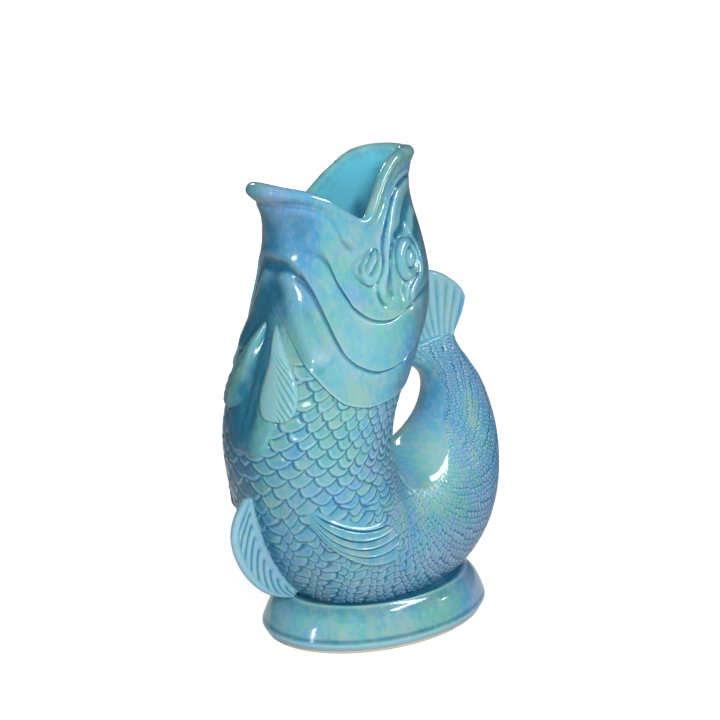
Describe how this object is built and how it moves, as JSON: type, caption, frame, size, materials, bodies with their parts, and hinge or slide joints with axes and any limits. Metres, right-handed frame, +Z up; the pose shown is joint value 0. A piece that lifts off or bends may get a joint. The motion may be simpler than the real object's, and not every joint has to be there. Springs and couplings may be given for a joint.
{
  "type": "jug",
  "caption": "Glazed jug in the shape of a standing fish: the open mouth pours, the curled hollow tail is the handle, and an oval foot carries it.",
  "frame": {"origin": "bottom centre of the jug's bounding box, on the table", "axes": "+Z up, +X towards the tail handle, -X towards the lower lip and the belly, +Y to the fish's right side"},
  "size_m": [0.1885, 0.1088, 0.2702],
  "materials": {
    "glaze": "glossy turquoise glaze with an iridescent lustre",
    "bare_clay": "matt unglazed clay"
  },
  "bodies": {
    "root": {"foot": "glaze", "foot_ring": "bare_clay", "belly": "glaze", "head": "glaze", "lip": "glaze", "tail": "glaze", "tail_fin": "glaze", "front_fin": "glaze", "pectoral_fin_left": "glaze", "pectoral_fin_right": "glaze", "flank_fin_left": "glaze", "flank_fin_right": "glaze", "eye_left": "glaze", "eye_right": "glaze", "eye_ring_left": "glaze", "eye_ring_right": "glaze", "cheek_leaf_left": "glaze", "cheek_leaf_right": "glaze"}
  },
  "joints": []
}
